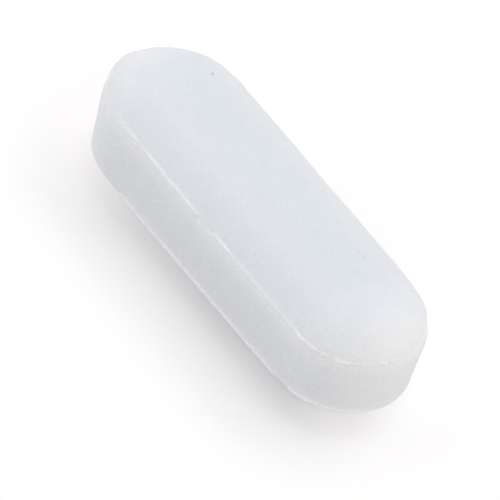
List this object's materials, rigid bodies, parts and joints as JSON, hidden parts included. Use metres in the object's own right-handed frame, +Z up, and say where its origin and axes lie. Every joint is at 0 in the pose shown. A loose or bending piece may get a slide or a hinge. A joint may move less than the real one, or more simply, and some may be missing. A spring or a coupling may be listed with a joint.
{
  "type": "magnetic stir bar",
  "caption": "Magnetic stir bar: a rod magnet sealed in a white moulded jacket with round ends, an upright side band and crowned faces. It spins on a vessel's floor to stir liquid.",
  "frame": {"origin": "under the middle of the bar, on the lowest line of the lower crown, where it touches a vessel's floor", "axes": "+X along the bar, +Y across it, +Z up from the floor, the axis that it spins about"},
  "size_m": [0.025, 0.0082, 0.0076],
  "materials": {
    "jacket_plastic": "white fluoropolymer as sintered: satin, fine-grained and slightly translucent",
    "magnet_metal": "dull grey ground magnet alloy"
  },
  "bodies": {
    "root": {"jacket": "jacket_plastic", "bar_magnet": "magnet_metal"}
  },
  "joints": []
}
